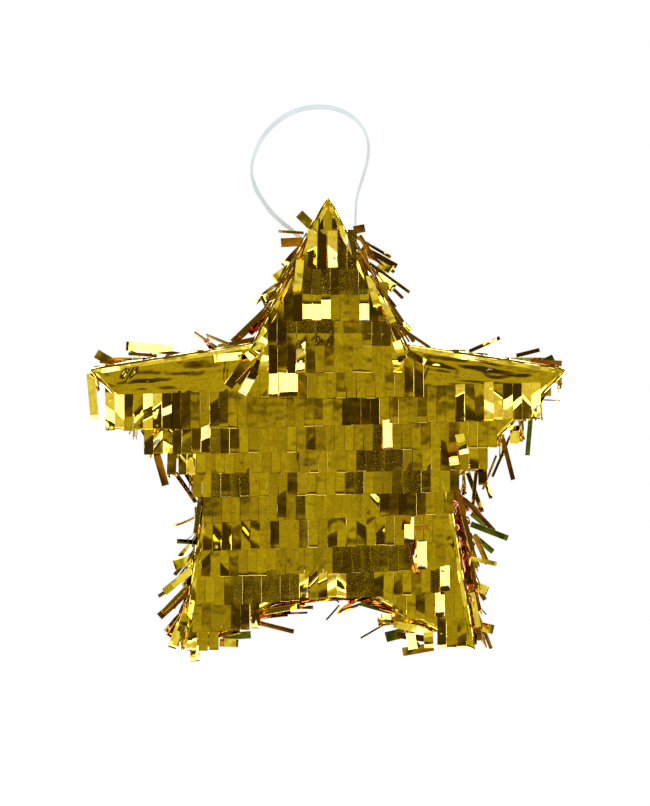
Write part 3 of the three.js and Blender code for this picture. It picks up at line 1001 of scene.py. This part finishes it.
def side_walls(material):
    """Each wall's foil and its loose fringe, in the place of its CAD node."""
    for point, side, mirrored, (lie, stand, share, loft, usual) in both_sides(WALLS):
        if mirrored:
            lie, stand = 180 - lie, 180 - stand
        film = Film()
        run = Run(POINTS.index(point), side)
        crinkle, bulge, tone = SKINS.get((point, side), (0.0012, 0.0008, 0.5))
        tones_and_shading = WALL_TONES.get((point, side), SIDE_TONES)
        cover = WALL_COVER.get((point, side), 1)
        wall_skin(film, run, crinkle, bulge, tone)
        to_tip = direction(lie).dot(run.along) < 0
        first, last = (0.027, run.length - 0.002) if to_tip else (0.004, run.length - 0.016)
        if point == "top":
            first = 0.026
        rows = round((last - first) / ROW_PITCH) + 1
        for k in range(rows):
            for j in range(WALL_STRIPS):
                distance = first + (last - first) * k / (rows - 1) + jitter(0.0015)
                depth = WALL_REACH * (2 * j / (WALL_STRIPS - 1) - 1) + jitter(0.0008)
                near_hole = point == "top" and distance < HOLE_REACH and abs(depth) < HOLE_CLEAR
                if near_hole or rng.random() > cover:
                    continue
                full = usual if to_tip else usual * min(0.45 + distance / 0.045, 1)
                side_strip(film, run, distance, depth, lie, stand, share, loft, full, tones_and_shading, bulge)
        suffix = "a" if side < 0 else "b"
        film.make(f"side_foil_{point}_{suffix}", material, "star", f"side_fringe_{point}_{suffix}")


# ---- Folded edges ----
# The fold's section: how far in from the edge, and how far off the face.
FOLD = (
    (0.0050, 0.0004), (0.0046, 0.0014), (0.0042, 0.00245), (0.0024, 0.00178), (0.0006, 0.0011),
    (0.0002, 0.0003), (-0.0004, 0.0001), (-0.0012, -0.0006), (-0.0017, -0.0024), (-0.0012, -0.0050),
)
PINCH = 0.0018  # how far the film is pinched together past a tip
# Size of the fold on each wall of a point on the right, as a share of the section above.
FOLD_SIZES = {
    ("top", 1): 0.80, ("right_arm", -1): 0.70, ("right_arm", 1): 0.38, ("right_leg", -1): 0.68,
    ("right_leg", 1): 0.40,
}


def edge_fold(film, run, facing, seed, size):
    """Film folded over the edge between a face and a wall. Two folds meet in a mitre at a tip."""
    steps = 90
    rows, normals = [], []
    for i in range(steps + 1):
        distance = -PINCH + (run.length + PINCH - 0.0002) * i / steps
        room = max(distance, 0) * run.spread
        share = size * min(room / (FOLD[0][0] * size), 1)
        spread = 1 + 0.25 * drift(distance * 45, seed, 8.5)
        dent = 0.0002 * drift(distance * 60, seed, 5.5)
        row, row_normals = [], []
        for k, (inset, rise) in enumerate(FOLD):
            ahead, behind = FOLD[min(k + 1, len(FOLD) - 1)], FOLD[max(k - 1, 0)]
            flat, deep = behind[0] - ahead[0], ahead[1] - behind[1]
            outer = inset < 0
            depth = facing * (SKIN_Y + (rise + dent) * (1 if outer else share))
            inward = inset if outer else min(inset * spread * share, room)
            row.append(run.at(distance, depth, 0.0012 * share - inward))
            normal = Vector((0, facing, 0)) * flat - run.out * deep
            row_normals.append(normal.normalized())
        rows.append(row)
        normals.append(row_normals)
    # Its tone, a little paler than the faces' gold, is painted highlight on the folded edges.
    film.sheet(rows, normals, 0.66)


def backing(film, facing):
    """Film over the whole of a face, under its rows: a kite for each point."""
    inset = 0.0012
    for index in range(STAR_SIDES):
        corners = [(0, 0), (VALLEY_R, index - 0.5), (VALLEY_R, index + 0.5), (TIP_R, index)]
        centre, before, after, tip = (polar(max(radius - inset, 0), turns) for radius, turns in corners)
        for corner in (centre, before, after, tip):
            corner.y = facing * (SKIN_Y + 0.0001)
        normal = [Vector((0, facing, 0))] * 2
        film.sheet([[centre, before], [after, tip]], [normal, normal], 0.52)


def folded_edges(material):
    for facing, name in ((-1, "foil_edges_front"), (1, "foil_edges_back")):
        film = Film()
        if facing < 0:
            backing(film, facing)
        for point, side, _, size in both_sides(FOLD_SIZES):
            index = POINTS.index(point)
            edge_fold(film, Run(index, side), facing, index * 3.7 + side, size)
        film.make(name, material, "star", crisp=9)


# ---- Loose strips that stand out at the star's edges ----
# Finishes of a loose strip: tone, grain and lean in degrees. The tones are partly painted light: DARK's
# low tone is painted shade, PALE's and GOLD's paler tones painted highlight, and the greens painted light
# shining through the film from behind; BROWN, RED and ORANGE are coloured foil.
PALE = (0.64, 0.0, 16.5)
GOLD = (0.7, 0.0, 20.5)
OLIVE = (0.55, 0.1, 3.0)
SPECKLED = (0.56, 0.12, 5.0)
# Its low tone is painted shade.
DARK = (0.3, 0.0, 10.0)
BROWN = (0.87, 0.0, 3.0)
RED = (0.925, 0.0, 3.0)
ORANGE = (0.845, 0.0, 2.0)
# Green tones: painted light shining through the film from behind.
GREEN = (0.98, 0.0, 3.0)
LIGHT_GREEN = (1.0, 0.0, 3.0)
# Each strip's x, height above the centre, direction, length, share of width, turn, curl and
# finish with its painted shade and highlight, in millimetres and degrees.
LOOSE_LEFT = (
    (-109, 68, 175, 34, 1, 8, 5, PALE), (-62, 69, 158, 26, 0.5, 70, 20, DARK),
    (-74, 67, 146, 24, 0.5, 74, -12, DARK), (-79, 66, 125, 12, 0.6, 30, 30, RED),
    (-50, 76, 192, 28, 0.8, 68, -30, DARK), (-52, 74, 206, 28, 0.8, 60, -25, BROWN),
    (-104, 65, 172, 26, 0.6, 60, 6, RED), (-120, 64, 176, 20, 0.5, 64, -10, DARK),
    (-132, 64, 150, 9, 0.3, 50, 0, DARK), (-126, 64, 40, 8, 0.3, 50, 0, DARK),
    (-153, 60, 150, 11, 1, 25, 0, SPECKLED), (-150, 59, 172, 10, 0.7, 40, 0, ORANGE),
    (-166.5, 51.5, -84, 34, 0.9, 4, 0, GOLD), (-121, -2, -74, 26, 0.8, 15, 0, BROWN),
    (-130, 12, -58, 18, 0.7, 65, 0, DARK), (-107, -18, -55, 26, 0.7, 66, 6, DARK),
    (-101, -16, -60, 28, 0.7, 62, 0, GREEN), (-96, -20, -66, 26, 0.8, 70, 0, DARK),
    (-91, -42, -88, 12, 0.8, 10, 0, GREEN), (-89, -33, -98, 28, 0.8, 60, -8, DARK),
    (-92, -67, 176, 14, 0.7, 52, 0, GREEN), (-91, -78, 196, 19, 1, 12, 10, GOLD),
    (-91, -70, 230, 26, 0.6, 60, 0, DARK), (-93, -84, 219, 30, 0.8, 20, 12, GOLD),
    (-94, -88, 214, 30, 0.5, 55, 0, OLIVE), (-96, -99, 222, 30, 0.8, 14, 8, BROWN),
    (-98, -97, 226, 26, 0.6, 50, 0, PALE), (-95, -106, 250, 22, 1, 35, 20, PALE),
    (-99, -112, 262, 24, 0.9, 40, -20, GOLD), (-102, -120, 236, 16, 0.9, 20, 14, ORANGE),
    (-103, -123, 250, 20, 0.9, 10, 0, GOLD), (-100, -129, 240, 12, 0.6, 30, 0, DARK),
    (-94, -136, -86, 15, 1, 6, 0, GOLD), (-82, -133, 12, 22, 0.7, 40, 6, PALE),
    (-74, -133, 4, 20, 0.8, 20, 0, GREEN), (-76, -137, -2, 14, 0.9, 8, 0, GOLD),
    (-78, -130, 16, 24, 0.8, 62, 0, RED), (-11, 154.5, 136, 13, 1, 6, 0, SPECKLED),
    (-17, 150, 176, 18, 0.5, 66, 0, DARK), (-18, 144, 183, 15, 1, 6, 0, BROWN),
    (-18, 140, 226, 19, 0.9, 20, 20, ORANGE), (-23, 132, 244, 28, 0.6, 50, 0, DARK),
    (-26, 126, 217, 16, 1, 6, 8, GOLD), (-27, 118, 236, 26, 0.8, 64, 0, GREEN),
    (-24, 113, 205, 26, 1, 8, -10, GOLD), (-18, 106, 222, 12, 1, 6, 0, GOLD),
    (-30, 108, 232, 28, 0.8, 36, 0, ORANGE), (-36, 100, 228, 28, 0.8, 48, 0, RED),
    (-46, 92, 222, 28, 0.8, 8, 0, BROWN), (-44, 96, 224, 26, 0.8, 60, 0, DARK),
    (-40, 85, 236, 24, 1, 16, 20, PALE), (-45, 80, 222, 22, 0.8, 40, 16, ORANGE),
)
LOOSE_RIGHT = (
    (18, 152, 12, 8, 0.9, 10, 0, ORANGE), (17, 149, -31, 32, 0.35, 20, 0, DARK),
    (24, 140, -29, 28, 0.6, 20, 0, DARK), (25, 137, -34, 26, 0.5, 55, 0, RED),
    (30, 128, -36, 34, 0.35, 20, 0, DARK), (31, 125, -44, 30, 0.5, 50, 0, RED),
    (34, 120, -36, 16, 1, 8, 0, PALE), (36, 129, -30, 11, 1, 8, 10, GOLD),
    (30, 120, -52, 28, 0.5, 50, 0, BROWN), (36, 112, -56, 30, 0.5, 58, 0, DARK),
    (40, 104, -58, 30, 0.6, 58, 0, RED), (44, 96, -54, 28, 0.5, 60, 0, DARK),
    (47, 76, 42, 14, 1, 8, 0, GOLD), (50, 84, -34, 26, 0.5, 62, 0, DARK),
    (99, 67, 24, 24, 0.4, 30, 8, DARK), (132, 64, 14, 17, 0.45, 24, 0, DARK),
    (150, 59, 26, 9, 0.7, 20, 0, GREEN), (142, 60, -4, 22, 0.6, 10, 0, RED),
    (136, 59, -7, 24, 0.5, 30, 0, ORANGE), (142, 20, -95, 26, 0.5, 8, 0, GREEN),
    (155, 42, -122, 20, 0.4, 30, 0, GREEN), (151, 33, -2, 12, 0.12, 0, 12, DARK),
    (131, 15, -92, 14, 1, 8, 0, GOLD), (122.5, 6, -76, 30, 0.5, 14, 4, RED),
    (128, 8, -114, 32, 0.3, 20, 0, DARK), (118, -6, -112, 26, 0.3, 40, 0, DARK),
    (108, -8, -88, 19, 1, 6, 0, DARK), (104, -16, -96, 26, 0.4, 20, 0, DARK),
    (98, -18, -70, 30, 0.5, 16, 4, DARK), (110, -23, -72, 14, 0.4, 30, 0, DARK),
    (96, -37, -47, 30, 0.5, 16, 4, RED), (100, -54, -21, 28, 0.65, 14, 6, GREEN),
    (101, -46, -40, 14, 0.8, 16, 0, LIGHT_GREEN), (102, -62, -40, 18, 0.6, 14, 0, LIGHT_GREEN),
    (103, -62, -66, 22, 0.6, 12, 0, ORANGE), (100, -78, -12, 20, 0.5, 24, 8, GOLD),
    (100, -90, -60, 20, 0.7, 40, 0, ORANGE), (104, -98, -20, 9, 1, 8, 0, GOLD),
    (101, -108, -68, 36, 0.4, 16, 0, BROWN), (107, -126, -12, 10, 1, 20, 14, GOLD),
    (104, -118, -74, 24, 0.4, 40, 0, DARK), (90, -30, -78, 28, 0.8, 14, 4, RED),
    (93, -40, -84, 26, 0.9, 6, 10, RED), (95, -48, -76, 26, 0.7, 44, 0, DARK),
    (94.5, -56, -80, 26, 1, 10, -6, RED), (97, -62, -74, 24, 0.6, 8, 0, ORANGE),
    (96.5, -70, -82, 27, 1, 12, 8, RED), (99, -76, -78, 24, 0.5, 46, 0, DARK),
    (98.5, -84, -80, 26, 0.8, 6, 6, RED), (100.5, -92, -77, 24, 0.7, 18, 0, ORANGE),
    (101, -102, -80, 26, 0.6, 10, 6, GOLD), (102, -112, -79, 24, 0.6, 10, 0, RED),
)
LOOSE_ARCH = (
    (-54, -122, -14, 31, 0.5, 12, 0, BROWN), (-52, -119, 8, 26, 0.6, 60, 0, RED),
    (-46, -116, 10, 28, 0.6, 30, 0, PALE), (-42, -117, 2, 28, 0.3, 60, 0, DARK),
    (-44, -112, 4, 28, 0.8, 62, 0, RED), (-32, -112, -1, 22, 0.4, 30, 0, DARK),
    (-30, -108, 6, 26, 0.9, 62, 0, BROWN), (-14, -107, 4, 28, 0.9, 66, 0, DARK),
    (-4, -106, 16, 20, 0.6, 30, 0, ORANGE), (8, -111, 228, 14, 0.2, 20, 0, DARK),
    (4, -104, 0, 6, 1, 10, 0, BROWN), (14, -108, 12, 22, 0.7, 50, 0, PALE),
    (24, -110, 199, 17, 0.35, 30, 0, DARK), (46, -116, 164, 24, 0.6, 30, 0, GREEN),
    (48, -114, 158, 28, 0.7, 60, 0, RED), (40, -124, 210, 20, 0.2, 30, 0, DARK),
    (48.5, -108, -90, 11, 1, 6, 0, PALE), (53, -121, 186, 18, 0.9, 8, 0, ORANGE),
    (45, -120, 184, 8, 1, 8, 0, PALE), (54, -130, 194, 14, 1.1, 8, 8, GREEN),
    (56, -121, -80, 22, 1, 6, 4, PALE), (66, -124, 150, 26, 0.7, 40, 0, GOLD),
    (70, -129, 168, 26, 0.8, 24, 10, PALE), (72, -135, 172, 24, 0.7, 30, 0, RED),
    (74, -140, 190, 22, 0.9, 16, 10, ORANGE), (64, -138, 212, 10, 0.6, 10, 0, GREEN),
    (70, -128, -86, 14, 1, 10, 20, GOLD), (-58, -120, 6, 30, 0.7, 44, 0, RED),
    (-50, -115, 9, 30, 0.6, 42, 0, DARK), (-38, -111, 7, 30, 0.5, 44, 0, RED),
    (-24, -108, 3, 28, 0.4, 42, 0, DARK), (-6, -105.5, -2, 28, 0.5, 44, 0, RED),
    (12, -106.5, -6, 26, 0.4, 42, 0, DARK), (26, -109.5, -10, 26, 0.5, 44, 0, RED),
    (36, -112, -16, 26, 0.6, 42, 0, BROWN), (58, -125, 170, 24, 0.6, 44, 0, DARK),
)
# These lie over the front: folded ends at the upper valleys and the right leg.
LOOSE_FRONT = (
    (-54, 64, 234, 27, 1, 8, 14, OLIVE), (-47, 60, 240, 27, 1, 8, 12, DARK),
    (-50, 66, 200, 12, 0.9, 16, 20, PALE), (-46, 70, 215, 14, 1, 12, 20, GOLD),
    (-44, 76, 236, 14, 1, 24, 24, PALE), (-43, 64, 255, 13, 1, 20, 10, PALE),
    (-60, 64, 186, 22, 0.8, 12, 6, PALE), (-52, 56, 226, 16, 0.6, 30, 0, ORANGE),
    (48, 74, -70, 14, 0.9, 12, 20, PALE), (51, 66, -100, 15, 0.9, 20, 16, PALE),
    (47, 66, -82, 12, 0.8, 30, 30, GOLD), (56, 66, -30, 14, 0.7, 20, 20, OLIVE),
    (29, 120, -76, 24, 0.8, 18, 8, GOLD), (22, 148, -58, 16, 0.5, 20, 0, ORANGE),
    (24, 138, -74, 14, 0.7, 16, 0, ORANGE), (37, 106, -66, 22, 0.7, 24, 10, PALE),
    (-19.5, 131, -95, 23, 0.9, 6, 0, GOLD), (56, -47, -100, 12, 0.9, 10, 12, ORANGE),
    (59, -58, -84, 30, 0.6, 30, 30, ORANGE), (56, -64, -75, 26, 0.5, 50, 20, RED),
    (57, -57, 6, 13, 0.5, 8, 0, BROWN), (86, 3, -80, 16, 1, 12, 30, ORANGE),
    (92, 9, -76, 16, 1, 20, 20, GOLD), (17, 148, -60, 34, 0.22, 42, 0, DARK),
    (23.5, 135, -62, 34, 0.28, 44, 4, RED), (30, 123, -60, 36, 0.22, 42, 0, DARK),
    (35.5, 111, -63, 34, 0.30, 44, 3, DARK), (41, 99, -58, 30, 0.22, 42, 0, RED),
    (44, 92, -62, 28, 0.30, 46, 5, DARK), (-15, 150, -118, 34, 0.20, 42, 0, DARK),
    (-22, 136, -119, 36, 0.22, 44, 0, DARK), (-29, 122, -122, 32, 0.26, 44, 4, RED),
)


ON_EDGE = 40  # turn in degrees from which a strip shows its edge
TURN_KEPT = 0.3  # share that is kept of a turn, or of what it has over ON_EDGE
CURL_KEPT = 0.6


def loose_strips(name, material, strips, depth, off):
    """Strips that face the front, rooted at a depth behind it or off it."""
    film = Film()
    out = Vector((0, -1, 0))
    for i, (x, height, degrees, length, share, turn, curl, finish_and_shading) in enumerate(strips):
        tone, grain, lean = finish_and_shading
        turn = ON_EDGE + (turn - ON_EDGE) * TURN_KEPT if turn >= ON_EDGE else turn * TURN_KEPT
        if math.cos(math.radians(degrees)) > 0:
            turn = -turn
        look = Look(tone, grain, (lean, lean + jitter(2)), (turn, turn + jitter(5)))
        look.bends = ((0.35, 1.0, curl * CURL_KEPT),)
        look.steps = 9
        root_y = -SKIN_Y + depth - off - ROOT_OFF * (i % 4)
        root = Vector((x / MM, root_y, CENTRE_Z + height / MM))
        film.strip(root, direction(degrees), out, length / MM, look, STRIP_WIDTH * share)
    film.make(name, material, "star")


def all_loose_strips(material):
    behind = 0.006
    for name, strips in (("left", LOOSE_LEFT), ("right", LOOSE_RIGHT), ("arch", LOOSE_ARCH)):
        loose_strips(f"foil_loose_{name}", material, strips, behind, 0)
    loose_strips("foil_loose_front", material, LOOSE_FRONT, 0, 0.0022)


# ---- Ribbon ----
def smooth_route(points, per_span):
    """Catmull-Rom points through a route."""
    ends = [points[0] * 2 - points[1], *points, points[-1] * 2 - points[-2]]
    made = []
    for a, b, c, d in zip(ends, ends[1:], ends[2:], ends[3:]):
        for k in range(per_span):
            t = k / per_span
            made.append(
                0.5 * (2 * b + (c - a) * t + (2 * a - 5 * b + 4 * c - d) * t * t
                       + (3 * b - a - 3 * c + d) * t ** 3)
            )
    return made + [points[-1].copy()]


def value_along(values, share):
    place = share * (len(values) - 1)
    i = min(int(place), len(values) - 2)
    return values[i] + (values[i + 1] - values[i]) * (place - i)


GATHERED = 0.36  # share of its width that the ribbon keeps in a hole
GATHER_RUN = 0.005  # length over which it narrows to that


def sweep_ribbon(name, path, turns, side, holes, material):
    """A flat ribbon along a path, turned about it and gathered where it passes through a hole."""
    half, thick = RIBBON_WIDTH / 2, RIBBON_THICK / 2
    section = [(-half, thick * 1.3), (-half * 0.86, thick * 1.3), (-half * 0.8, thick),
               (half * 0.8, thick), (half * 0.86, thick * 1.3), (half, thick * 1.3)]
    section += [(x, -y) for x, y in reversed(section)]
    points = []
    across = side.normalized()
    for i, point in enumerate(path):
        ahead = path[min(i + 1, len(path) - 1)] - path[max(i - 1, 0)]
        tangent = ahead.normalized()
        across = (across - tangent * across.dot(tangent)).normalized()
        turn = Matrix.Rotation(math.radians(value_along(turns, i / (len(path) - 1))), 3, tangent)
        wide = turn @ across
        deep = tangent.cross(wide)
        near = min((point - hole).length for hole in holes)
        keep = GATHERED + (1 - GATHERED) * min(near / GATHER_RUN, 1)
        points += [point + wide * (x * keep) + deep * y for x, y in section]
    ring = len(section)
    faces = []
    for i in range(len(path) - 1):
        for j in range(ring):
            a, b = i * ring + j, i * ring + (j + 1) % ring
            faces.append([a, b, b + ring, a + ring])
    faces.append(list(reversed(range(ring))))
    faces.append(list(range((len(path) - 1) * ring, len(path) * ring)))
    piece = add_mesh(name, points, faces, material)
    return piece


def make_ribbon(material):
    route = [Vector((x, 0, z)) for x, z in RIBBON_ROUTE]
    path = smooth_route(route, 5)
    holes = (path[0], path[-1])
    piece = sweep_ribbon("ribbon_loop", path, RIBBON_TURNS, Vector((0, 1, 0)), holes, material)
    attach(piece, "hanging_loop")
    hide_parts("hanging_ribbon")


def make_knot(side, name, material):
    """An overhand knot inside the top point, with the end that passes out through the wall."""
    node = f"ribbon_knot_{name}"
    low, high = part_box(node)
    centre = (low + high) / 2
    size = 0.0014  # half the knot's thickness
    flat = 0.8 * size
    hole = high.x if side > 0 else low.x
    inner = (low.x if side > 0 else high.x) + side * 0.004
    path = []
    steps = 40
    for i in range(steps + 1):
        t = 2 * math.pi * (0.03 + 0.90 * i / steps)
        x = -math.sin(3 * t)
        y = math.sin(t) + 2 * math.sin(2 * t)
        z = math.cos(t) - 2 * math.cos(2 * t)
        path.append(Vector((inner + side * size * x, centre.y + flat * y, centre.z + flat * z)))
    path += [Vector((hole - side * 0.0025, 0, centre.z)), Vector((hole, 0, centre.z))]
    along = Vector((1, 0, 0.2))
    piece = sweep_ribbon(f"knot_{name}", path, (0, 120, 0), along, (path[-1],), material)
    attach(piece, "star")
    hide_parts(node)


# ---- Carried-over CAD nodes ----
def paint_nodes(card, tape):
    for name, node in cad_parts.items():
        if node.hide_render:
            continue
        node.data.materials.clear()
        node.data.materials.append(tape if "tape" in name else card)


bpy.context.scene.view_settings.view_transform = "Standard"
make_camera()
make_ribbon(ribbon_material())
make_world()
make_floor()
gold = foil_material()
make_apex(gold)
front_rows(gold)
back_rows(gold)
door_rows(gold)
side_walls(gold)
folded_edges(gold)
all_loose_strips(gold)
for knot_side, knot_name in ((-1, "left"), (1, "right")):
    make_knot(knot_side, knot_name, bpy.data.materials["white_ribbon"])
paint_nodes(card_material(), tape_material())
